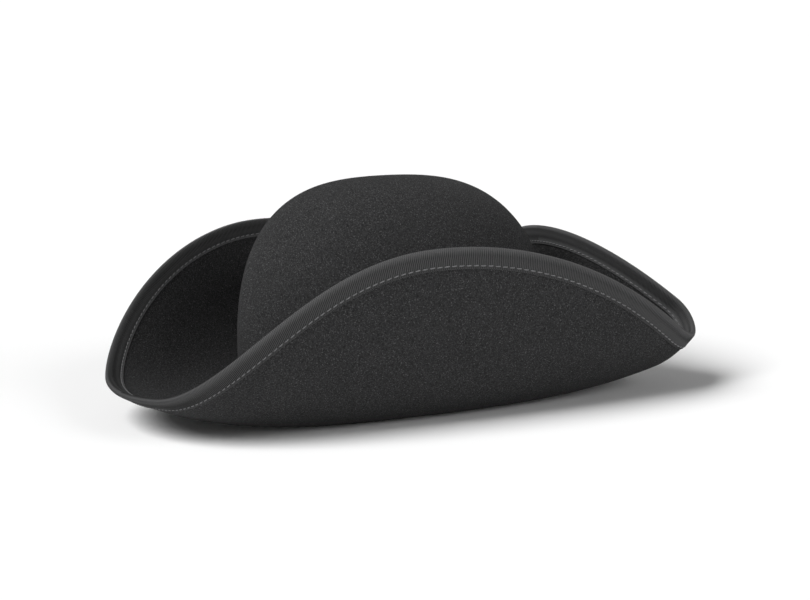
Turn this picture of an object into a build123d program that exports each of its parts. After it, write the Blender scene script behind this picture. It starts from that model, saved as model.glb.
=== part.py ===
from build123d import *
import os
from math import atan2, cos, degrees, radians, sin, sqrt

# Felt tricorne: one blocked felt body, a ribbon folded over the brim's edge and sewn down, and
# inside it a reeded sweatband, a lining and a care label that lifts.
# +Z is up, -Y the front corner, +X the wearer's left. The origin is the centre of the head
# opening, in the plane of the flat ring of felt that the hat stands on.
# Lengths are in millimetres and angles in degrees; "turn" is the angle from the front corner
# round to the wearer's left.

# felt body
felt_thick = 2.5
crown_half_length = 106.0      # front to back, over the felt
crown_oval_ratio = 0.835       # half width over half length
crown_height = 138.0
crown_squareness = 2.8         # 2 would be an ellipse in profile; more is a squarer shoulder
crown_front_rise = 0.035       # how much higher the front of the crown is blocked
break_radius = 3.0             # inside corner where the crown turns into the brim
rest_ring = 6.5                # flat brim round the crown, from the crown's wall
brim_side_radius = 202.5       # the cut edge from the centre, before the brim is folded up
brim_end_cut = 12.0            # how much shorter that radius is at front and back
brim_front_cut = 4.0           # and how much of it moves from the back to the front
lift_front = 0.0043            # sweep of the unfolded brim, per millimetre
lift_rear = 0.0025
side_fold_turn = 75.0          # direction of the side folds from the front
side_fold_reach = 96.5
side_fold_angle = 87.0
side_fold_radius = (67.0, 100.0, 38.0)     # at the middle, the front end and the rear end
back_fold_reach = 112.5
back_fold_angle = 100.0
back_fold_radius = (11.0, 38.0, 38.0)
fold_half_length = 170.0

# ribbon round the edge and the two threads of its lockstitch
ribbon_thick = 0.55
ribbon_gap = 0.1
ribbon_cover = 11.0            # how far each side of the fold comes in from the edge
nose_back = 0.4                # centre of the ribbon's fold, in from the cut edge
stitch_pitch = 4.2
stitch_length = 2.6
stitch_thick = 0.4
thread_clear = 0.15            # so that a straight thread clears the curved cloth under it
stitch_inset = 1.8             # the stitch row, in from the ribbon's selvedge

# inside the crown: distances inwards from the felt's inner face
lining_gap = 0.25
lining_thick = 0.4
lining_foot = 14.0             # height of the lining's hem, hidden behind the sweatband
lining_seam_level = 50.0       # profile angle where the side lining meets the tip
band_gap = 0.9
band_thick = 1.0
band_foot = 6.4
band_top = 38.0
reed_radius = 1.1
tape_radius = 1.6
reed_height = 4.0
bow_knot_thick = 3.4
bow_clear = 1.0                # off the curved band
label_width = 30.0
label_tacks = 9
label_drop = 28.0
label_thick = 0.4
label_axis_height = 75.0
label_clear = 0.7
label_tack_gap = 0.35          # between the label's top edge and the threads that hang it

around = 72                    # points in each closed loop


def crown_reach(turn):
    half_width = crown_half_length * crown_oval_ratio
    return 1 / sqrt((sin(radians(turn)) / half_width) ** 2 + (cos(radians(turn)) / crown_half_length) ** 2)


def brim_width(turn):
    c = cos(radians(turn))
    return brim_side_radius - brim_end_cut * c ** 2 - brim_front_cut * c ** 3 - crown_reach(turn)


def crown_outside(turn, level):
    """Outer face of the crown; level is the profile angle, 0 at the base and 90 at the top."""
    power = 2 / crown_squareness
    reach = crown_reach(turn) * cos(radians(level)) ** power
    y = -reach * cos(radians(turn))
    rise = sin(radians(level)) ** power
    z = crown_height * rise * (1 - crown_front_rise * y / crown_half_length)
    return Vector(reach * sin(radians(turn)), y, z)


def level_at(height):
    """Profile angle at which the crown's outer face is at this height, front rise aside."""
    rise = (height / crown_height) ** (crown_squareness / 2)
    return degrees(atan2(rise, sqrt(1 - rise * rise)))


def fold(run, angle, radius):
    """What a fold does to a point that lay run past the fold line: pull back, and rise."""
    bent = min(max(run, 0) / radius, radians(angle))
    rest = max(run - radius * radians(angle), 0)
    reach = radius * sin(bent) + rest * cos(radians(angle))
    return max(run, 0) - reach, radius * (1 - cos(bent)) + rest * sin(radians(angle))


def folds():
    """Direction, distance, angle, radii, and which way along the fold counts as its front end."""
    side = (side_fold_reach, side_fold_angle, side_fold_radius)
    yield (side_fold_turn, *side, -1)
    yield (-side_fold_turn, *side, 1)
    yield (180, back_fold_reach, back_fold_angle, back_fold_radius, 1)


def brim_underside(turn, run):
    """Lower face of the brim, run out from the crown's wall measured on the flat felt."""
    reach = crown_reach(turn) + run
    flat = Vector(reach * sin(radians(turn)), -reach * cos(radians(turn)))
    front_share = ((1 + cos(radians(turn))) / 2) ** 1.5
    lift = lift_front * front_share + lift_rear * (1 - front_share)
    point = flat + Vector(0, 0, lift * max(run - rest_ring, 0) ** 2)
    for direction, distance, angle, (middle, front_end, rear_end), way in folds():
        outward = Vector(sin(radians(direction)), -cos(radians(direction)))
        along = Vector(-outward.Y, outward.X) * way
        place = flat.dot(along) / fold_half_length
        end = front_end if place > 0 else rear_end
        radius = middle + (end - middle) * min(place * place, 1)
        back, rise = fold(flat.dot(outward) - distance, angle, radius)
        point = point - outward * back + Vector(0, 0, rise)
    return point


def normal(face, turn, place):
    """Unit normal of a face: outwards from the crown, downwards from the brim."""
    step = 0.05
    round_it = face(turn + step, place) - face(turn - step, place)
    down_it = face(turn, place + step) - face(turn, place - step)
    return round_it.cross(down_it).normalized()


def crown_at(turn, level, depth):
    """Point inside the crown's outer face by depth."""
    return crown_outside(turn, level) - normal(crown_outside, turn, level) * depth


def brim_at(turn, run, height):
    """Point above the brim's underside by height."""
    return brim_underside(turn, run) - normal(brim_underside, turn, run) * height


def break_at(turn, angle, side):
    """Corner between crown and brim: side is 0 on the upper face and 1 on the lower one."""
    radius = break_radius + side * felt_thick
    reach = crown_reach(turn) + break_radius - radius * cos(radians(angle))
    height = felt_thick + break_radius - radius * sin(radians(angle))
    return Vector(reach * sin(radians(turn)), -reach * cos(radians(turn)), height)


def loop(point_at):
    """Closed curve once round the hat through point_at(turn)."""
    points = [point_at(360 * i / around) for i in range(around)]
    return Wire([Edge.make_spline(points, periodic=True, parameters=[i / around for i in range(around + 1)])])


def apex(depth):
    return Vertex(0, 0, crown_height - depth)


def crown_levels(steps):
    """Profile angles from near the top down to near the base, closer together near the base."""
    return [90 * (i / steps) ** 1.5 for i in range(steps - 1, 0, -1)]


def brim_loops(height, steps):
    """Loops from the edge of the flat ring out to the cut edge, closer together near the ring."""
    def at(share):
        return loop(lambda turn: brim_at(turn, rest_ring + share * (brim_width(turn) - rest_ring), height))
    return [at((i / steps) ** 1.3) for i in range(1, steps + 1)]


def closed(*faces):
    solid = Solid(Shell([face for group in faces for face in group]))
    return solid if solid.volume > 0 else Solid(-solid.shell())


def felt_body():
    turns = [0, 30, 60, 90]
    levels = crown_levels(12)
    upper = [apex(0)] + [loop(lambda turn: crown_at(turn, level, 0)) for level in levels]
    upper += [loop(lambda turn: break_at(turn, angle, 0)) for angle in turns]
    upper += [loop(lambda turn: brim_at(turn, rest_ring, felt_thick))] + brim_loops(felt_thick, 18)
    hollow = [apex(felt_thick)] + [loop(lambda turn: crown_at(turn, level, felt_thick)) for level in levels]
    hollow += [loop(lambda turn: break_at(turn, angle, 1)) for angle in turns]
    under = [loop(lambda turn: brim_at(turn, rest_ring, 0))] + brim_loops(0, 18)
    ring = Face(under[0], [hollow[-1]])
    skins = [Shell.make_loft(upper), Shell.make_loft(hollow), Shell.make_loft(under)]
    skins.append(Shell.make_loft([upper[-1], under[-1]], ruled=True))
    return closed([ring], *[skin.faces() for skin in skins])


def stretch(turn):
    """How much the blocked felt's length near the edge exceeds its run on the flat pattern."""
    width = brim_width(turn)
    return (brim_underside(turn, width) - brim_underside(turn, width - 1)).length


def ribbon_point(turn, place, offset):
    """Point of the ribbon's section: place runs -1..1 from the selvedge above to the one below,
    with the middle fifth round the edge, and offset is the distance from the felt's middle."""
    nose = brim_width(turn) - nose_back
    if abs(place) >= 0.2:
        run = nose - (ribbon_cover - nose_back) * (abs(place) - 0.2) / 0.8 / stretch(turn)
        return brim_at(turn, run, felt_thick / 2 - offset * (1 if place > 0 else -1))
    centre = brim_at(turn, nose, felt_thick / 2)
    up = normal(brim_underside, turn, nose) * -1
    out = (brim_underside(turn, nose) - brim_underside(turn, nose - 0.1)).normalized()
    angle = 90 * place / 0.2
    return centre + out * (offset * cos(radians(angle))) - up * (offset * sin(radians(angle)))


def brim_binding():
    inner = felt_thick / 2 + ribbon_gap
    outer = inner + ribbon_thick
    places = [-1, -0.6, -0.2, -0.1, 0, 0.1, 0.2, 0.6, 1]
    outside = [loop(lambda turn: ribbon_point(turn, place, outer)) for place in places]
    inside = [loop(lambda turn: ribbon_point(turn, place, inner)) for place in places]
    skins = [Shell.make_loft(outside, ruled=True), Shell.make_loft(inside, ruled=True)]
    skins += [Shell.make_loft([outside[end], inside[end]], ruled=True) for end in (0, -1)]
    return closed(*[skin.faces() for skin in skins])


def thread(centre, along):
    """One visible thread of a stitch, a short square rod."""
    plane = Plane(origin=centre, z_dir=along)
    return plane * Box(stitch_thick, stitch_thick, stitch_length)


def stitches(point_at, pitch):
    """Short straight threads, evenly spaced along the closed line point_at(turn)."""
    fine = 1440
    points = [point_at(360 * i / fine) for i in range(fine + 1)]
    reached = [0]
    for before, after in zip(points, points[1:]):
        reached.append(reached[-1] + (after - before).length)
    count = round(reached[-1] / pitch)
    threads = []
    index = 0
    for i in range(count):
        middle = reached[-1] * (i + 0.5) / count
        while reached[index + 1] < middle:
            index += 1
        share = (middle - reached[index]) / (reached[index + 1] - reached[index])
        centre = points[index] + (points[index + 1] - points[index]) * share
        threads.append(thread(centre, points[index + 1] - points[index]))
    return Compound(threads)


def binding_thread(side):
    """side is 1 for the thread on the brim's lower face and -1 for the one on its upper face."""
    offset = felt_thick / 2 + ribbon_gap + ribbon_thick + stitch_thick / 2 + thread_clear
    place = (ribbon_cover - stitch_inset - nose_back) / (ribbon_cover - nose_back) * 0.8 + 0.2
    return stitches(lambda turn: ribbon_point(turn, side * place, offset), stitch_pitch)


def wall(depth, thick, low, high, steps):
    """Thin ring inside the crown between two profile angles."""
    levels = [low + (high - low) * i / steps for i in range(steps + 1)]
    outside = [loop(lambda turn: crown_at(turn, level, depth)) for level in levels]
    inside = [loop(lambda turn: crown_at(turn, level, depth + thick)) for level in levels]
    skins = [Shell.make_loft(outside), Shell.make_loft(inside)]
    skins += [Shell.make_loft([outside[end], inside[end]], ruled=True) for end in (0, -1)]
    return closed(*[skin.faces() for skin in skins])


def sweatband():
    return wall(felt_thick + band_gap, band_thick, level_at(band_foot), level_at(band_top), 4)


def lining_side():
    return wall(felt_thick + lining_gap, lining_thick, level_at(lining_foot), lining_seam_level, 8)


def lining_tip():
    depth = felt_thick + lining_gap
    start = lining_seam_level + 1
    levels = [90 - (90 - start) * share for share in (0.25, 0.5, 0.75, 1)]
    outside = [apex(depth)] + [loop(lambda turn: crown_at(turn, level, depth)) for level in levels]
    inside = [apex(depth + lining_thick)]
    inside += [loop(lambda turn: crown_at(turn, level, depth + lining_thick)) for level in levels]
    skins = [Shell.make_loft(outside), Shell.make_loft(inside)]
    skins.append(Shell.make_loft([outside[-1], inside[-1]], ruled=True))
    return closed(*[skin.faces() for skin in skins])


def reed_centre(turn):
    reach = crown_reach(turn) - felt_thick - band_gap - tape_radius + 0.4
    return Vector(reach * sin(radians(turn)), -reach * cos(radians(turn)), reed_height)


def tube(radius):
    """Round ring that follows the head opening."""
    path = loop(reed_centre)
    start = reed_centre(0)
    return Solid(sweep(Plane(origin=start, z_dir=(1, 0, 0)) * Circle(radius), path=path).wrapped)


def reed_tape():
    return tube(tape_radius) - tube(reed_radius + 0.05)


def sweatband_thread():
    level = level_at(band_foot + 2)
    depth = felt_thick + band_gap + band_thick + stitch_thick / 2 + thread_clear
    return stitches(lambda turn: crown_at(turn, level, depth), stitch_pitch)


def band_face(height):
    """Y of the sweatband's inner face at the back of the head."""
    return crown_at(180, level_at(height), felt_thick + band_gap + band_thick).Y


def sweatband_bow():
    """Flat ribbon bow at the back, over the band's join: two loops, two tails and a knot."""
    height = (band_foot + band_top) / 2
    back = band_face(height) - bow_knot_thick / 2 - bow_clear
    bow = Pos(0, back, height) * Box(6, bow_knot_thick, 9)
    ring = Ellipse(8, bow_knot_thick / 2) - Ellipse(7.3, bow_knot_thick / 2 - 0.7)
    for way in (-1, 1):
        bow += Pos(way * 8.5, back, height) * Rot(0, way * 8, 0) * extrude(ring, amount=5, both=True)
        bow += Pos(way * 4, back, height - 6.5) * Rot(0, way * -28, 0) * Box(9, 0.6, 13)
    return bow


def back_wall(x, height):
    """Point on the lining's inner face at the back, this far from the middle."""
    depth = felt_thick + lining_gap + lining_thick
    turn, aim = 180.0, height
    for _ in range(8):
        point = crown_at(turn, level_at(aim), depth)
        turn -= degrees((x - point.X) / point.Y)
        aim += height - point.Z
    return point


def label_y():
    """Plane of the flat care label: clear of the curved lining at the label's corners."""
    return back_wall(label_width / 2, label_axis_height).Y - label_clear - label_thick / 2


def care_label():
    middle = label_axis_height - label_drop / 2
    return Pos(0, label_y(), middle) * Box(label_width, label_thick, label_drop)


def label_thread():
    """Tacking threads from the lining to the label's top edge, halfway into the lining."""
    height = label_axis_height + label_tack_gap + stitch_thick / 2
    near = label_y() - stitch_thick / 4
    threads = []
    for i in range(label_tacks):
        x = (i / (label_tacks - 1) - 0.5) * (label_width - 3)
        far = back_wall(x, height).Y + lining_thick / 2
        threads.append(Pos(x, (near + far) / 2, height) * Box(stitch_thick, far - near, stitch_thick))
    return Compound(threads)


nodes = {
    "felt_body": felt_body,
    "brim_binding": brim_binding,
    "binding_thread_outside": lambda: binding_thread(1),
    "binding_thread_inside": lambda: binding_thread(-1),
    "sweatband": sweatband,
    "sweatband_thread": sweatband_thread,
    "reed_tape": reed_tape,
    "sweatband_reed": lambda: tube(reed_radius),
    "sweatband_bow": sweatband_bow,
    "lining_side": lining_side,
    "lining_tip": lining_tip,
    "care_label": care_label,
    "label_thread": label_thread,
}

os.makedirs("parts", exist_ok=True)
for name, make in nodes.items():
    shape = make()
    print(name, len(shape.solids()), "solids", round(shape.volume), "mm3", shape.bounding_box().size)
    export_step(shape, f"parts/{name}.step")
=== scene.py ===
from math import atan2, cos, pi, radians, sin, sqrt

import bpy
import numpy as np
from mathutils import Matrix, Quaternion, Vector


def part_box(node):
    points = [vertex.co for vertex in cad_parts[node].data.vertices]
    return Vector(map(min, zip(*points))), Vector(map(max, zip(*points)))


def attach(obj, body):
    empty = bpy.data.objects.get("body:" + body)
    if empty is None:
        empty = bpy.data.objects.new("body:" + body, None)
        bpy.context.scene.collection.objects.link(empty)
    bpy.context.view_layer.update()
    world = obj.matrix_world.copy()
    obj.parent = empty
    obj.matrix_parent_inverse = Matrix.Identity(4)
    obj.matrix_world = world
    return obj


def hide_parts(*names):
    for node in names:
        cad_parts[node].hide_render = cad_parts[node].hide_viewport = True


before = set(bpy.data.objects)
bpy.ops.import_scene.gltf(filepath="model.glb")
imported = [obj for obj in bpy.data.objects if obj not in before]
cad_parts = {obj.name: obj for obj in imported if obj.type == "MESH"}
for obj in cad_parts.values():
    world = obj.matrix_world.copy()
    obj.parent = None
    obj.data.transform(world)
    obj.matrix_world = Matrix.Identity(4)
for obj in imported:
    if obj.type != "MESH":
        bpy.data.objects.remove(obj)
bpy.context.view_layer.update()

scene = bpy.context.scene
mm = 0.001
hatBody = "hat"
labelBody = "label"

crown = {
    "halfLength": 106 * mm,
    "ovalRatio": 0.835,
    "height": 138 * mm,
    "squareness": 2.8,
    "frontRise": 0.035,
    "breakRadius": 3 * mm,     # inside corner between crown and brim
}

brim = {
    "thick": 2.5 * mm,
    "restRing": 6.5 * mm,
    "sideRadius": 202.5 * mm,
    "endCut": 12 * mm,
    "frontCut": 4 * mm,
    "liftFront": 4.3,          # per metre
    "liftRear": 2.5,
    "foldHalfLength": 170 * mm,
}

# direction from the front, distance, angle, radius at the middle, front end and rear end, way
sideFold = (96.5 * mm, radians(87), (67 * mm, 100 * mm, 38 * mm))
backFold = (112.5 * mm, radians(100), (11 * mm, 38 * mm, 38 * mm))
folds = [(radians(75), *sideFold, -1), (radians(-75), *sideFold, 1), (pi, *backFold, 1)]


def crownReach(turn):
    halfWidth = crown["halfLength"] * crown["ovalRatio"]
    return 1 / np.sqrt((np.sin(turn) / halfWidth) ** 2 + (np.cos(turn) / crown["halfLength"]) ** 2)


def brimWidth(turn):
    c = np.cos(turn)
    return brim["sideRadius"] - brim["endCut"] * c ** 2 - brim["frontCut"] * c ** 3 - crownReach(turn)


def crownOutside(turn, level):
    power = 2 / crown["squareness"]
    reach = crownReach(turn) * np.cos(level) ** power
    y = -reach * np.cos(turn)
    z = crown["height"] * np.sin(level) ** power * (1 - crown["frontRise"] * y / crown["halfLength"])
    return np.stack(np.broadcast_arrays(reach * np.sin(turn), y, z), -1)


def brimUnderside(turn, run):
    reach = crownReach(turn) + run
    x, y = reach * np.sin(turn), -reach * np.cos(turn)
    frontShare = ((1 + np.cos(turn)) / 2) ** 1.5
    lift = brim["liftFront"] * frontShare + brim["liftRear"] * (1 - frontShare)
    z = lift * np.maximum(run - brim["restRing"], 0) ** 2
    foldedX, foldedY = x, y
    for direction, distance, angle, (middle, front, rear), way in folds:
        outX, outY = sin(direction), -cos(direction)
        place = (y * outX - x * outY) * way / brim["foldHalfLength"]
        radius = middle + (np.where(place > 0, front, rear) - middle) * np.minimum(place ** 2, 1)
        past = np.maximum(x * outX + y * outY - distance, 0)
        bent = np.minimum(past / radius, angle)
        rest = np.maximum(past - radius * angle, 0)
        back = past - radius * np.sin(bent) - rest * cos(angle)
        foldedX, foldedY = foldedX - back * outX, foldedY - back * outY
        z = z + radius * (1 - np.cos(bent)) + rest * sin(angle)
    return np.stack(np.broadcast_arrays(foldedX, foldedY, z), -1)


# the crown's rows stop just short of its middle, where they would all meet
topLevel = pi / 2 - 2e-3


def outwardOf(face, turn, place, step):
    roundIt = face(turn + 1e-3, place) - face(turn - 1e-3, place)
    downIt = face(turn, place + step) - face(turn, place - step)
    normal = np.cross(roundIt, downIt)
    return normal / np.linalg.norm(normal, axis=-1, keepdims=True)


def crownAt(turn, level, depth):
    level = np.minimum(level, topLevel)
    outward = outwardOf(crownOutside, turn, level, 1e-3)
    return crownOutside(turn, level) - outward * np.asarray(depth)[..., None]


def brimAt(turn, run, height):
    downward = outwardOf(brimUnderside, turn, run, 5e-5)
    return brimUnderside(turn, run) - downward * np.asarray(height)[..., None]


def breakAt(turn, angle, side):
    radius = crown["breakRadius"] + side * brim["thick"]
    reach = crownReach(turn) + crown["breakRadius"] - radius * np.cos(angle)
    height = brim["thick"] + crown["breakRadius"] - radius * np.sin(angle)
    return np.stack(np.broadcast_arrays(reach * np.sin(turn), -reach * np.cos(turn), height), -1)


def levelAt(height):
    rise = (height / crown["height"]) ** (crown["squareness"] / 2)
    return atan2(rise, sqrt(1 - rise * rise))


def evenLevels(low, high, rows):
    fine = high - (high - low) * np.linspace(1, 0, 4000) ** 3
    profile = crownOutside(np.zeros(1), fine)
    reached = np.concatenate([[0], np.cumsum(np.linalg.norm(np.diff(profile, axis=0), axis=1))])
    return np.interp(np.linspace(0, reached[-1], rows), reached, fine)


def evenTurns(pointAt, count):
    fine = np.linspace(0, 2 * pi, 7201)
    line = pointAt(fine)
    reached = np.concatenate([[0], np.cumsum(np.linalg.norm(np.diff(line, axis=0), axis=1))])
    return np.interp(np.linspace(0, reached[-1], count + 1), reached, fine), reached[-1]




def deselect():
    if bpy.context.mode != "OBJECT":
        bpy.ops.object.mode_set(mode="OBJECT")
    bpy.ops.object.select_all(action="DESELECT")


def applyModifier(piece, kind, **settings):
    modifier = piece.modifiers.new(kind.title(), kind)
    for key, value in settings.items():
        setattr(modifier, key, value)
    bpy.context.view_layer.objects.active = piece
    bpy.ops.object.modifier_apply(modifier=modifier.name)


def gridPiece(name, points, size):
    # a grid laid out row by row over points, its UV map in metres, with coinciding edges welded
    rows, columns = points.shape[:2]
    deselect()
    bpy.ops.mesh.primitive_grid_add(x_subdivisions=columns - 1, y_subdivisions=rows - 1, size=1)
    piece = bpy.context.object
    piece.name = piece.data.name = name
    piece.data.vertices.foreach_set("co", points.reshape(-1))
    layer = piece.data.uv_layers.active
    flat = np.empty(len(layer.uv) * 2)
    layer.uv.foreach_get("vector", flat)
    layer.uv.foreach_set("vector", (flat.reshape(-1, 2) * size).reshape(-1))
    bpy.ops.object.mode_set(mode="EDIT")
    bpy.ops.mesh.select_all(action="SELECT")
    bpy.ops.mesh.remove_doubles(threshold=1e-6)
    bpy.ops.mesh.normals_make_consistent(inside=False)
    bpy.ops.object.mode_set(mode="OBJECT")
    bpy.ops.object.shade_smooth()
    return piece


def finishPiece(piece, material, body, slot, *nodes):
    piece.data.materials.clear()
    piece.data.materials.append(material)
    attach(piece, body)
    if nodes:
        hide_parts(*nodes)
    return piece




class Signal:
    def __init__(self, tree, socket):
        self.tree, self.socket = tree, socket

    def combine(self, operation, left, right):
        node = self.tree.nodes.new("ShaderNodeMath")
        node.operation = operation
        for socket, value in zip(node.inputs, (left, right)):
            if isinstance(value, Signal):
                self.tree.links.new(value.socket, socket)
            else:
                socket.default_value = value
        return Signal(self.tree, node.outputs[0])

    def __add__(self, other):
        return self.combine("ADD", self, other)

    def __mul__(self, other):
        return self.combine("MULTIPLY", self, other)

    def __radd__(self, other):
        return self.combine("ADD", other, self)

    def __rmul__(self, other):
        return self.combine("MULTIPLY", other, self)


class Finish:
    def __init__(self, name, **constants):
        self.material = bpy.data.materials.new(name)
        self.material.use_nodes = True
        self.tree = self.material.node_tree
        self.shader = self.tree.nodes["Principled BSDF"]
        for key, value in constants.items():
            self.shader.inputs[key.replace("_", " ")].default_value = value

    def node(self, kind, settings=None, output=0, **sockets):
        node = self.tree.nodes.new("ShaderNode" + kind)
        for key, value in (settings or {}).items():
            if key == "stops":
                self.setStops(node.color_ramp, value)
            else:
                setattr(node, key, value)
        for key, value in sockets.items():
            self.feed(node.inputs[int(key[1:]) if key[1:].isdigit() else key.replace("_", " ")], value)
        return Signal(self.tree, node.outputs[output])

    def setStops(self, ramp, stops):
        for element, (place, grey) in zip(ramp.elements, stops):
            element.position, element.color = place, (grey, grey, grey, 1)
        for place, grey in stops[2:]:
            ramp.elements.new(place).color = (grey, grey, grey, 1)

    def feed(self, socket, value):
        if isinstance(value, Signal):
            self.tree.links.new(value.socket, socket)
        else:
            socket.default_value = value

    def set(self, **sockets):
        for key, value in sockets.items():
            self.feed(self.shader.inputs[key.replace("_", " ")], value)
        return self.material

    def place(self):
        return self.node("TexCoord", output=3)

    def uv(self):
        return self.node("TexCoord", output=2)

    def noise(self, where, scale, detail=2, roughness=0.5):
        return self.node("TexNoise", Vector=where, Scale=scale, Detail=detail, Roughness=roughness)

    def squeezed(self, where, rotation, scale):
        return self.node("Mapping", Vector=where, Rotation=rotation, Scale=scale)

    def wave(self, where, scale, direction, distortion=0):
        settings = {"wave_type": "BANDS", "bands_direction": direction, "wave_profile": "SIN"}
        return self.node("TexWave", settings, output=1, Vector=where, Scale=scale, Distortion=distortion)

    def colour(self, share, dark, light):
        return self.node("Mix", {"data_type": "RGBA"}, output=2, i0=share, i6=(*dark, 1), i7=(*light, 1))

    def bump(self, height, strength, distance):
        return self.node("Bump", Height=height, Strength=strength, Distance=distance)


def between(signal, low, high):
    return signal * (high - low) + low


def limited(finish, signal, low, high):
    return finish.node("MapRange", {"clamp": True}, Value=signal, From_Min=low, From_Max=high)


# the wave node's bands repeat every pi / 10 units at scale 1
bandsPer = 0.314

feltLook = {
    "dark": (0.0062, 0.0062, 0.0064),
    "light": (0.0400, 0.0400, 0.0408),
    "fibre": (0.115, 0.115, 0.117),
    "grain": 900,              # mottles per metre
    "fleck": 1500,
    "cloud": 26,
    "pile": 2400,
}


def makeFelt():
    finish = Finish("Wool felt", Sheen_Weight=0.02, Sheen_Roughness=0.5, IOR=1.35, Specular_IOR_Level=0.1)
    where = finish.place()
    grain = limited(finish, finish.noise(where, feltLook["grain"], 3, 0.7), 0.32, 0.68)
    cloud = finish.noise(where, feltLook["cloud"], 3, 0.55)
    pile = finish.noise(where, feltLook["pile"], 2, 0.6)
    base = finish.colour(grain * 0.8 + cloud * 0.2, feltLook["dark"], feltLook["light"])
    hairs = limited(finish, finish.noise(where, feltLook["fleck"], 1, 0.4), 0.62, 0.74)
    for turned in (0.4, 1.5, 2.6):
        # long thin cells, a different way each time, so that single hairs lie across each other
        cells = finish.squeezed(where, (turned, turned * 0.7, turned * 1.9), (260, 2200, 2200))
        hairs = hairs + limited(finish, finish.noise(cells, 1, 1, 0.4), 0.67, 0.76) * 0.7
    share = limited(finish, hairs, 0, 1.3)
    hairy = finish.node("Mix", {"data_type": "RGBA"}, output=2, i0=share, i6=base,
                        i7=(*feltLook["fibre"], 1))
    relief = grain * 0.5 + pile * 0.3 + share * 0.4
    return finish.set(Base_Color=hairy, Roughness=between(grain, 0.88, 0.99),
                      Normal=finish.bump(relief, 0.9, 0.4 * mm))


grosgrainLook = {
    # the valley colour is painted shade between the ribs, the rib colour the lit top of a rib
    "valleyShade": (0.004, 0.004, 0.0041),
    "rib": (0.084, 0.084, 0.0852),
    "yarnPitch": 0.28 * mm,
}


def makeGrosgrain():
    finish = Finish("Grosgrain", Sheen_Weight=0.04, Sheen_Roughness=0.4, IOR=1.45, Specular_IOR_Level=0.3)
    where = finish.uv()
    rib = finish.node("Attribute", {"attribute_name": "rib"}, output=2)
    weft = finish.wave(where, bandsPer / grosgrainLook["yarnPitch"], "Y")
    worn = finish.noise(finish.place(), 700, 3, 0.6)
    # the rib attribute paints shade into the grooves and a highlight along the fold
    share = limited(finish, rib * 0.85 + worn * 0.3 + weft * 0.1, 0.3, 1.2)
    base = finish.colour(share, grosgrainLook["valleyShade"], grosgrainLook["rib"])
    return finish.set(Base_Color=base, Roughness=between(worn, 0.6, 0.85),
                      Normal=finish.bump(weft * 0.5 + worn * 0.5, 0.5, 0.12 * mm))


def makeThread(name, dark, light):
    finish = Finish(name, Sheen_Weight=0.15, Sheen_Roughness=0.4, Specular_IOR_Level=0.4)
    where = finish.place()
    turned = finish.squeezed(where, (0.5, 0.6, 0.4), (1, 1, 1))
    ply = finish.wave(turned, bandsPer / (0.4 * mm), "X", 1)
    base = finish.colour(ply * 0.7 + finish.noise(where, 900) * 0.3, dark, light)
    return finish.set(Base_Color=base, Roughness=between(ply, 0.55, 0.75),
                      Normal=finish.bump(ply, 0.6, 0.1 * mm))


def makeLeatherette():
    finish = Finish("Band leatherette", IOR=1.45, Specular_IOR_Level=0.4)
    where = finish.place()
    shake = finish.node("TexNoise", output=1, Vector=where, Scale=500)
    shake = finish.node("VectorMath", {"operation": "SCALE"}, i0=shake, i3=0.0006)
    warped = finish.node("VectorMath", {"operation": "ADD"}, i0=where, i1=shake)
    cells = finish.node("TexVoronoi", {"feature": "DISTANCE_TO_EDGE"}, Vector=warped, Scale=1150)
    grain = limited(finish, cells, 0, 0.22)
    soft = finish.noise(where, 60, 3)
    base = finish.colour(grain * 0.7 + soft * 0.3, (0.012, 0.011, 0.0105), (0.034, 0.031, 0.029))
    return finish.set(Base_Color=base, Roughness=between(soft, 0.38, 0.55),
                      Normal=finish.bump(grain, 0.5, 0.12 * mm))


def makeCloth(name, dark, light, pitch, roughness, sheen):
    # plain woven cloth: warp and weft bands in the piece's own UV map, which is in metres
    finish = Finish(name, Sheen_Weight=sheen, Sheen_Roughness=0.35, Specular_IOR_Level=0.45)
    where = finish.uv()
    warp = finish.wave(where, bandsPer / pitch, "X")
    weft = finish.wave(where, bandsPer / pitch, "Y")
    soft = finish.noise(finish.place(), 120, 3)
    over = warp * 0.5 + weft * 0.5
    base = finish.colour(over * 0.55 + soft * 0.45, dark, light)
    return finish.set(Base_Color=base, Roughness=between(soft, roughness - 0.07, roughness + 0.07),
                      Normal=finish.bump(over, 0.45, 0.08 * mm))


def makePlastic():
    finish = Finish("Reed plastic", Specular_IOR_Level=0.5)
    soft = finish.noise(finish.place(), 300, 3)
    return finish.set(Base_Color=finish.colour(soft, (0.55, 0.55, 0.52), (0.68, 0.68, 0.65)),
                      Roughness=between(soft, 0.3, 0.45), Normal=finish.bump(soft, 0.2, 0.1 * mm))


felt = makeFelt()
grosgrain = makeGrosgrain()
blackThread = makeThread("Black thread", (0.07, 0.07, 0.072), (0.19, 0.19, 0.194))
leatherette = makeLeatherette()
satin = makeCloth("Lining satin", (0.014, 0.014, 0.016), (0.042, 0.042, 0.047), 0.22 * mm, 0.34, 0.1)
tapeCloth = makeCloth("Reed tape cloth", (0.014, 0.014, 0.014), (0.04, 0.04, 0.041), 0.4 * mm, 0.6, 0.15)
bowSatin = makeCloth("Bow ribbon", (0.014, 0.014, 0.016), (0.05, 0.05, 0.055), 0.25 * mm, 0.36, 0.1)
labelCloth = makeCloth("Label cloth", (0.52, 0.51, 0.48), (0.78, 0.77, 0.73), 0.3 * mm, 0.6, 0.1)
plastic = makePlastic()
print("materials made")


feltRows = {"around": 300, "crown": 62, "break": 7, "brim": 72, "hollow": 32}


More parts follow.
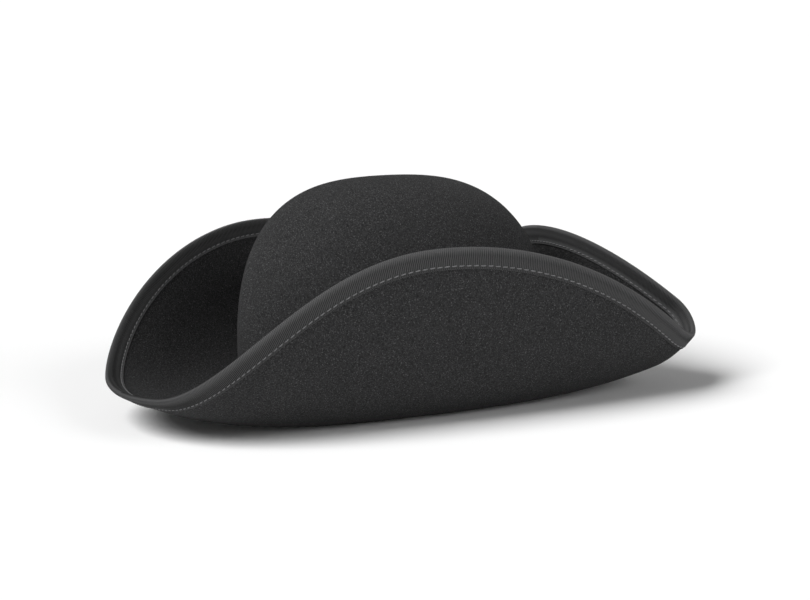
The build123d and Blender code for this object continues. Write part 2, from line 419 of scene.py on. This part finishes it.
def makeFeltBody():
    thick = brim["thick"]
    turn = np.linspace(0, 2 * pi, feltRows["around"] + 1)[None, :]
    low = levelAt(thick + crown["breakRadius"])
    angles = np.linspace(0, pi / 2, feltRows["break"])[1:-1, None]
    share = np.linspace(0, 1, feltRows["brim"])[:, None] ** 1.15
    run = brim["restRing"] + share * (brimWidth(turn) - brim["restRing"])

    def top(depth):
        return np.broadcast_to(np.array([0, 0, crown["height"] - depth]), (1, turn.shape[1], 3))

    outside = crownOutside(turn, evenLevels(low, topLevel, feltRows["crown"])[::-1, None])
    hollow = crownAt(turn, evenLevels(low, topLevel, feltRows["hollow"])[:, None], thick)
    upper = [top(0), outside, breakAt(turn, angles, 0), brimAt(turn, run, thick)]
    lower = [brimAt(turn, run, 0)[::-1], breakAt(turn, angles[::-1], 1), hollow, top(thick)]
    points = np.concatenate(upper + lower)
    points[:, -1] = points[:, 0]
    piece = gridPiece("FeltBody", points, (1, 1))
    return finishPiece(piece, felt, hatBody, "felt", "felt_body")


feltBody = makeFeltBody()
print("felt body made")


ribbon = {
    "thick": 0.55 * mm,
    "gap": 0.1 * mm,
    "cover": 11 * mm,
    "noseBack": 0.4 * mm,
    "ribPitch": 1.1 * mm,
    "ribDepth": 0.34 * mm,
    "tooth": 0.02,            # how far a rib's end stands out at the selvedge
    "perRib": 4,
    # how much lighter the fold round the brim's edge is painted, as a painted highlight
    "foldHighlight": 0.3,
    "edgeShare": 1.3,
    "stitchInset": 1.8 * mm,
}


def stretch(turn):
    # how much the blocked felt's length near the edge exceeds its run on the flat pattern
    width = brimWidth(turn)
    return np.linalg.norm(brimUnderside(turn, width) - brimUnderside(turn, width - mm), axis=-1) / mm


def ribbonPoint(turn, place, offset):
    # place runs -1..1 from the selvedge above to the one below, its middle fifth round the edge
    nose = brimWidth(turn) - ribbon["noseBack"]
    half = brim["thick"] / 2
    side = np.where(place > 0, 1, -1)
    angle = np.clip(place / 0.2, -1, 1) * pi / 2
    flatCover = (ribbon["cover"] - ribbon["noseBack"]) / stretch(turn)
    run = nose - flatCover * np.maximum(np.abs(place) - 0.2, 0) / 0.8
    flat = brimAt(turn, run, half - offset * side)
    centre = brimAt(turn, nose, np.full_like(nose, half))
    up = -outwardOf(brimUnderside, turn, nose, 5e-5)
    out = brimUnderside(turn, nose) - brimUnderside(turn, nose - 1e-4)
    out = out / np.linalg.norm(out, axis=-1, keepdims=True)
    offset = np.asarray(offset)
    rounded = centre + out * (offset * np.cos(angle))[..., None] - up * (offset * np.sin(angle))[..., None]
    return np.where((np.abs(place) >= 0.2)[..., None], flat, rounded)


def makeBinding():
    inner = brim["thick"] / 2 + ribbon["gap"]
    outer = inner + ribbon["thick"]

    def edge(turn):
        return ribbonPoint(turn, np.zeros_like(turn), np.full_like(turn, outer))
    length = evenTurns(edge, 8)[1]
    ribs = round(length / ribbon["ribPitch"])
    columns = ribs * ribbon["perRib"]
    turn = evenTurns(edge, columns)[0][None, :]
    phase = np.cos(2 * pi * np.arange(columns + 1) / ribbon["perRib"])[None, :]
    half = np.array([0.1, 0.2, 0.4, 0.6, 0.8, 0.985, 1])
    places = np.concatenate([-half[::-1], [0], half])[:, None]
    onEdge = np.abs(places) == 1
    sunk = np.where(onEdge, -0.3 * ribbon["thick"], 0)
    ends = places + np.sign(places) * onEdge * ribbon["tooth"] * phase
    outside = ribbonPoint(turn, ends, outer + sunk + ribbon["ribDepth"] * (phase - 1) / 2 * ~onEdge)
    innerPlaces = np.array([1, 0.6, 0.2, 0, -0.2, -0.6, -1])[:, None]
    inside = ribbonPoint(turn, innerPlaces + 0 * turn, np.full_like(innerPlaces + 0 * turn, inner))
    points = np.concatenate([outside, inside, outside[:1]])
    points[:, -1] = points[:, 0]
    piece = gridPiece("BrimBinding", points, (length, 2 * ribbon["cover"] + 4 * ribbon["thick"]))
    # per-vertex painted shade in the rib grooves and a painted highlight along the fold
    rib = piece.data.attributes.new("rib", "FLOAT", "POINT")
    rib.data.foreach_set("value", ribLightAndShade(len(piece.data.vertices), places[:, 0], phase[0, :-1]))
    finishPiece(piece, grosgrain, hatBody, "grosgrain", "brim_binding")
    return piece


def ribLightAndShade(count, places, phase):
    # 0 in a groove and 1 on a rib, which paints shade into the grooves, with a painted highlight along the
    # fold and the woven edges lightest
    order = np.arange(count)
    row = np.minimum(order // len(phase), len(places) - 1)
    shares = phase[order % len(phase)] * 0.5 + 0.5
    # the fold is painted lighter as a highlight
    shares = shares + ribbon["foldHighlight"] * (np.abs(places[row]) < 0.15)
    return np.where(np.abs(places[row]) > 0.98, ribbon["edgeShare"], shares)


binding = makeBinding()
print("binding made")


stitch = {"pitch": 4.2 * mm, "length": 3.0 * mm, "radius": 0.34 * mm, "dip": 0.3 * mm, "slant": radians(5)}


def makeStitch():
    deselect()
    bpy.ops.mesh.primitive_cylinder_add(vertices=8, radius=stitch["radius"], depth=stitch["length"] * 0.2)
    piece = bpy.context.object
    bpy.ops.object.mode_set(mode="EDIT")
    for way in (-1, 1):
        for reach, girth in ((0.2, 0.95), (0.14, 0.8), (0.06, 0.55)):
            bpy.ops.mesh.select_all(action="DESELECT")
            selectFarFace(piece, way)
            bpy.ops.mesh.extrude_region_move(
                TRANSFORM_OT_translate={"value": (0, 0, way * reach * stitch["length"])})
            bpy.ops.transform.resize(value=(girth, girth, 1))
    bpy.ops.object.mode_set(mode="OBJECT")
    bpy.ops.object.shade_smooth()
    for vertex in piece.data.vertices:
        x = vertex.co.z
        bend = (2 * x / stitch["length"]) ** 2 * stitch["dip"]
        vertex.co = (x, vertex.co.x, vertex.co.y * 0.85 - bend)
    return piece


def selectFarFace(piece, way):
    bpy.ops.object.mode_set(mode="OBJECT")
    far = max(piece.data.polygons, key=lambda face: face.center.z * way)
    far.select = True
    bpy.ops.object.mode_set(mode="EDIT")
    bpy.ops.mesh.select_mode(type="FACE")


def stitchRow(name, pointAt, normalAt, pitch, scale=1):
    length = evenTurns(pointAt, 8)[1]
    count = round(length / pitch)
    turn = evenTurns(pointAt, count)[0][:-1] + 1e-4
    centres, normals = pointAt(turn), normalAt(turn)
    tangents = pointAt(turn + 1e-3) - pointAt(turn - 1e-3)
    return stitchesAt(name, centres, tangents, normals, scale)


def stitchesAt(name, centres, tangents, normals, scale=1):
    base = makeStitch()
    copies = []
    for centre, tangent, normal in zip(centres, tangents, normals):
        along = Vector(tangent).normalized()
        across = Vector(normal).cross(along).normalized()
        up = along.cross(across)
        spin = Matrix.Rotation(stitch["slant"], 4, "Z")
        matrix = Matrix((along, across, up)).transposed().to_4x4() @ spin @ Matrix.Scale(scale, 4)
        matrix.translation = Vector(centre)
        copy = base.copy()
        copy.data = base.data.copy()
        copy.data.transform(matrix)
        bpy.context.collection.objects.link(copy)
        copies.append(copy)
    bpy.data.objects.remove(base)
    deselect()
    for copy in copies:
        copy.select_set(True)
    bpy.context.view_layer.objects.active = copies[0]
    bpy.ops.object.join()
    piece = bpy.context.object
    piece.name = piece.data.name = name
    return piece


def makeBindingThread(name, side, node):
    offset = brim["thick"] / 2 + ribbon["gap"] + ribbon["thick"] + 0.02 * mm
    cover = ribbon["cover"] - ribbon["noseBack"]
    place = side * ((cover - ribbon["stitchInset"]) / cover * 0.8 + 0.2)

    def pointAt(turn):
        return ribbonPoint(turn, np.full_like(turn, place), np.full_like(turn, offset))

    def normalAt(turn):
        return pointAt(turn) - ribbonPoint(turn, np.full_like(turn, place), np.full_like(turn, offset - mm))
    piece = stitchRow(name, pointAt, normalAt, stitch["pitch"])
    return finishPiece(piece, blackThread, hatBody, "thread", node)


makeBindingThread("BindingThreadOutside", 1, "binding_thread_outside")
makeBindingThread("BindingThreadInside", -1, "binding_thread_inside")
print("binding threads made")


def ringOf(outsideRows, insideRows):
    points = np.concatenate([outsideRows, insideRows[::-1], outsideRows[:1]])
    points[:, -1] = points[:, 0]
    return points


lining = {
    "gap": 0.25 * mm,          # between the felt and the satin
    "thick": 0.4 * mm,
    "foot": 14 * mm,
    "seamLevel": radians(50),
    "pleats": 46,
    "pleatDepth": 0.8 * mm,
    "sideRows": 26,
    "tipRows": 22,
    "tipAround": 192,
    "tipSlack": 0.5 * mm,
}


def shareOf(levels):
    return (levels - levels[0]) / (levels[-1] - levels[0])


def makeLiningSide():
    turn = np.linspace(0, 2 * pi, lining["pleats"] * 12 + 1)[None, :]
    levels = evenLevels(levelAt(lining["foot"]), lining["seamLevel"], lining["sideRows"])[:, None]
    depth = brim["thick"] + lining["gap"]
    # the pleats are not quite even, and grow towards the seam of the tip
    sway = 0.7 * np.sin(5 * turn + 2) + 0.5 * np.sin(11 * turn)
    wave = (1 + np.sin(lining["pleats"] * turn + sway)) / 2
    pleat = wave * lining["pleatDepth"] * shareOf(levels) ** 1.5
    outer = crownAt(turn, levels, depth + pleat)
    inner = crownAt(turn, levels, depth + pleat + lining["thick"])
    piece = gridPiece("LiningSide", ringOf(outer, inner), (0.62, 0.2))
    finishPiece(piece, satin, hatBody, "satin", "lining_side")


def makeLiningTip():
    turn = np.linspace(0, 2 * pi, lining["tipAround"] + 1)[None, :]
    levels = evenLevels(lining["seamLevel"] + radians(0.3), topLevel, lining["tipRows"])[:, None]
    depth = brim["thick"] + lining["gap"]
    wave = (1 + np.sin(lining["pleats"] * turn)) / 2
    slack = lining["tipSlack"] * np.sin(pi * np.minimum(shareOf(levels) * 4, 1)) * wave
    outer = crownAt(turn, levels, depth + slack)
    inner = crownAt(turn, levels, depth + slack + lining["thick"])
    height = crown["height"] - depth
    for rows, z in ((outer, height), (inner, height - lining["thick"])):
        rows[-1] = (0, 0, z)
    piece = gridPiece("LiningTip", ringOf(outer, inner), (0.4, 0.16))
    finishPiece(piece, satin, hatBody, "satin", "lining_tip")


band = {
    "gap": 0.9 * mm,
    "thick": 1.0 * mm,
    "foot": 6.4 * mm,
    "top": 38 * mm,
    "around": 288,
    "rows": 22,
    "pressed": 0.16 * mm,      # depth of the line near the top
    "drawn": 0.2 * mm,         # depth of the channel at the thread
    "edgeCurve": 0.25 * mm,
    "threadUp": 2 * mm,
}


def makeSweatband():
    turn = np.linspace(0, 2 * pi, band["around"] + 1)[None, :]
    levels = evenLevels(levelAt(band["foot"]), levelAt(band["top"]), band["rows"])[:, None]
    share = shareOf(levels)
    near = brim["thick"] + band["gap"]
    # a pressed line near the top, and a shallow channel where the thread pulls the foot in
    line = band["pressed"] * np.exp(-((share - 0.9) / 0.02) ** 2)
    line = line + band["drawn"] * np.exp(-((share - 0.07) / 0.03) ** 2)
    curve = band["edgeCurve"] * np.exp(-(np.minimum(share, 1 - share) / 0.02) ** 2)
    outer = crownAt(turn, levels, near + curve + 0 * turn)
    inner = crownAt(turn, levels, near + band["thick"] - line - curve + 0 * turn)
    piece = gridPiece("Sweatband", ringOf(outer, inner), (0.590, 0.066))
    finishPiece(piece, leatherette, hatBody, "band_leather", "sweatband")


tape = {
    "radius": 1.6 * mm,
    "height": 4 * mm,
    "underFelt": 0.4 * mm,     # how much nearer to the felt than the band
    "columns": 1160,
    "weave": 0.05 * mm,
}


def reedCentre(turn):
    reach = crownReach(turn) - brim["thick"] - band["gap"] - tape["radius"] + tape["underFelt"]
    height = np.full_like(turn, tape["height"])
    return np.stack([reach * np.sin(turn), -reach * np.cos(turn), height], -1)


def makeReedTape():
    columns = tape["columns"]
    turn = evenTurns(reedCentre, columns)[0]
    centre = reedCentre(turn)[None]
    out = np.stack([np.sin(turn), -np.cos(turn), 0 * turn], -1)[None]
    up = np.array([0, 0, 1])[None, None]
    angle = np.linspace(0, 2 * pi, 25)[:, None]
    wrap = np.cos(2 * pi * np.arange(columns + 1) / 4)[None, :] * tape["weave"]
    radius = (tape["radius"] - tape["weave"] + wrap * np.ones_like(angle))[..., None]
    points = centre + out * np.cos(angle)[..., None] * radius + up * np.sin(angle)[..., None] * radius
    points[:, -1], points[-1] = points[:, 0], points[0]
    piece = gridPiece("ReedTape", points, (0.58, 0.010))
    finishPiece(piece, tapeCloth, hatBody, "reed_tape", "reed_tape")


def makeSweatbandThread():
    level = levelAt(band["foot"] + band["threadUp"])
    depth = brim["thick"] + band["gap"] + band["thick"] - 0.1 * mm

    def pointAt(turn):
        return crownAt(turn, np.full_like(turn, level), np.full_like(turn, depth))

    def normalAt(turn):
        return -outwardOf(crownOutside, turn, np.full_like(turn, level), 1e-3)
    piece = stitchRow("SweatbandThread", pointAt, normalAt, stitch["pitch"])
    finishPiece(piece, blackThread, hatBody, "thread", "sweatband_thread")


makeLiningSide()
makeLiningTip()
makeSweatband()
makeReedTape()
makeSweatbandThread()
reed = bpy.data.objects["sweatband_reed"]
reed.data.materials.clear()
reed.data.materials.append(plastic)
print("inside of the crown made")


bow = {"width": 10 * mm, "thick": 0.35 * mm, "loop": 15 * mm, "tail": 15 * mm}


def ribbonStrip(name, path, width, thick, twist=0.0):
    # path is a list of points in the plane across the band; the ribbon's width lies along Z
    path = np.array(path)
    ways = np.linspace(-0.5, 0.5, 7)[:, None, None] * np.array([0, 0, 1]) * width
    lean = np.linspace(0, twist, len(path))[None, :, None] * np.linspace(-0.5, 0.5, 7)[:, None, None]
    points = path[None] + ways + lean * np.array([0, 1, 0]) * width
    piece = gridPiece(name, points, (0.04, width))
    applyModifier(piece, "SUBSURF", levels=1, render_levels=1)
    applyModifier(piece, "SOLIDIFY", thickness=thick, offset=0)
    return piece


def makeBow():
    low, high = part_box("sweatband_bow")
    bandLow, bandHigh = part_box("sweatband")
    centre = Vector(((low.x + high.x) / 2, 0, (bandLow.z + bandHigh.z) / 2))
    back = high.y - 0.5 * mm
    parts = []
    for way in (-1, 1):
        t = np.linspace(0, 1, 25)
        x = way * bow["loop"] * np.sin(pi * t) ** 0.8
        y = back - 1.0 * mm - 1.6 * mm * np.sin(2 * pi * t)
        z = centre.z + 1.2 * mm * np.sin(pi * t) * way * 0.4
        path = np.stack([x, y, np.broadcast_to(z, x.shape)], -1)
        parts.append(ribbonStrip("BowLoop", path, bow["width"], bow["thick"], 0.05))
        t = np.linspace(0, 1, 14)
        x = way * (1 * mm + 8 * mm * t)
        y = back - 1.4 * mm + 0.5 * mm * np.sin(5 * t)
        tail = ribbonStrip("BowTail", np.stack([x, y, centre.z - bow["tail"] * t ** 1.1 * 0.6], -1),
                           bow["width"], bow["thick"])
        parts.append(tail)
    angle = np.linspace(0, 2 * pi, 25)
    x, y = 2.4 * mm * np.cos(angle), back - 1.1 * mm + 1.7 * mm * np.sin(angle)
    knot = np.stack([x, y, centre.z + 0 * angle], -1)
    knot[-1] = knot[0]
    parts.append(ribbonStrip("BowKnot", knot, bow["width"] * 0.85, bow["thick"]))
    deselect()
    for part in parts:
        part.select_set(True)
    bpy.context.view_layer.objects.active = parts[0]
    bpy.ops.object.join()
    piece = bpy.context.object
    piece.name = piece.data.name = "SweatbandBow"
    finishPiece(piece, bowSatin, hatBody, "bow_ribbon", "sweatband_bow")


def makeLabel():
    low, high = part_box("care_label")
    rows = np.linspace(0, 1, 24)[:, None]
    columns = np.linspace(-1, 1, 29)[None, :]
    middle = (low.y + high.y) / 2
    # hangs in a slight curl, and its edges turn out a little
    curl = 0.9 * mm * rows ** 2 * (0.4 + 0.6 * columns ** 2)
    y = middle - curl + 0.3 * mm * rows * np.sin(2.4 * columns + 1)
    x = columns * (high.x - low.x) / 2 + 0 * rows
    z = high.z - rows * (high.z - low.z) + 0 * columns
    piece = gridPiece("CareLabel", np.stack([x, y, z], -1), (0.030, 0.028))
    applyModifier(piece, "SOLIDIFY", thickness=0.3 * mm, offset=0)
    finishPiece(piece, labelCloth, labelBody, "label", "care_label")


def makeLabelThread():
    low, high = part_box("label_thread")
    x = np.linspace(low.x + stitch["radius"], high.x - stitch["radius"], 9)
    centres = np.stack([x, np.full(9, (low.y + high.y) / 2), np.full(9, (low.z + high.z) / 2)], -1)
    along, up = np.tile([0, 1.0, 0], (9, 1)), np.tile([0, 0, 1.0], (9, 1))
    piece = stitchesAt("LabelThread", centres, along, up, 0.8)
    finishPiece(piece, blackThread, hatBody, "thread", "label_thread")


makeBow()
makeLabel()
makeLabelThread()
print("bow and label made")


view = {
    "target": Vector((0, 0, 50 * mm)),
    "azimuth": radians(66.8),
    "elevation": radians(8.1),
    "roll": radians(5.06),
    "distance": 1.248,
    "lens": 85.97,
    "shift": (0.0119, 0.0143),
}


def towards(azimuth, elevation):
    return Vector((sin(azimuth) * cos(elevation), -cos(azimuth) * cos(elevation), sin(elevation)))


def makeCamera():
    camera = bpy.data.objects.new("Camera", bpy.data.cameras.new("Camera"))
    scene.collection.objects.link(camera)
    back = towards(view["azimuth"], view["elevation"])
    camera.location = view["target"] + back * view["distance"]
    camera.rotation_mode = "QUATERNION"
    aim = (-back).to_track_quat("-Z", "Y")
    camera.rotation_quaternion = aim @ Quaternion((0, 0, 1), -view["roll"])
    camera.data.lens = view["lens"]
    camera.data.sensor_width = 36
    camera.data.shift_x, camera.data.shift_y = view["shift"]
    scene.camera = camera


def makeFloor():
    deselect()
    bpy.ops.mesh.primitive_circle_add(vertices=96, radius=30, fill_type="NGON")
    floor = bpy.context.object
    floor.name = "Floor"
    finish = Finish("Pale floor", Specular_IOR_Level=0.1)
    cloud = finish.noise(finish.place(), 3, 2)
    finish.set(Base_Color=finish.colour(cloud, (0.90, 0.90, 0.90), (0.92, 0.92, 0.92)), Roughness=0.9)
    floor.data.materials.append(finish.material)


lights = {
    # azimuth from the camera round to its right, elevation, strength, angle of the soft source
    "KeyLight": (-68, 52, 3.5, 40),
    "FillLight": (48, 20, 1.2, 30),
}
sky = {"horizon": 1.06, "above": 0.12, "low": 0.10, "high": 0.24}


def makeLight(name, azimuth, elevation, strength, angle):
    light = bpy.data.lights.new(name, "SUN")
    light.energy, light.angle = strength, radians(angle)
    lamp = bpy.data.objects.new(name, light)
    scene.collection.objects.link(lamp)
    way = towards(view["azimuth"] + radians(azimuth), radians(elevation))
    lamp.location = view["target"] + way
    lamp.rotation_euler = (-way).to_track_quat("-Z", "Y").to_euler()


def makeSky():
    # a bright band round the horizon and a dimmer dome over it
    world = bpy.data.worlds.new("Studio")
    world.use_nodes = True
    tree = world.node_tree
    where = tree.nodes.new("ShaderNodeTexCoord")
    split = tree.nodes.new("ShaderNodeSeparateXYZ")
    ramp = tree.nodes.new("ShaderNodeMapRange")
    ramp.interpolation_type = "SMOOTHSTEP"
    for socket, value in zip(ramp.inputs[1:5], (sky["low"], sky["high"], sky["horizon"], sky["above"])):
        socket.default_value = value
    tree.links.new(where.outputs["Generated"], split.inputs[0])
    tree.links.new(split.outputs["Z"], ramp.inputs[0])
    tree.links.new(ramp.outputs[0], tree.nodes["Background"].inputs["Strength"])
    tree.nodes["Background"].inputs["Color"].default_value = (1, 1, 1, 1)
    scene.world = world


makeCamera()
makeFloor()
for name, settings in lights.items():
    makeLight(name, *settings)
makeSky()
scene.view_settings.view_transform = "Standard"
print("camera, floor and light made")
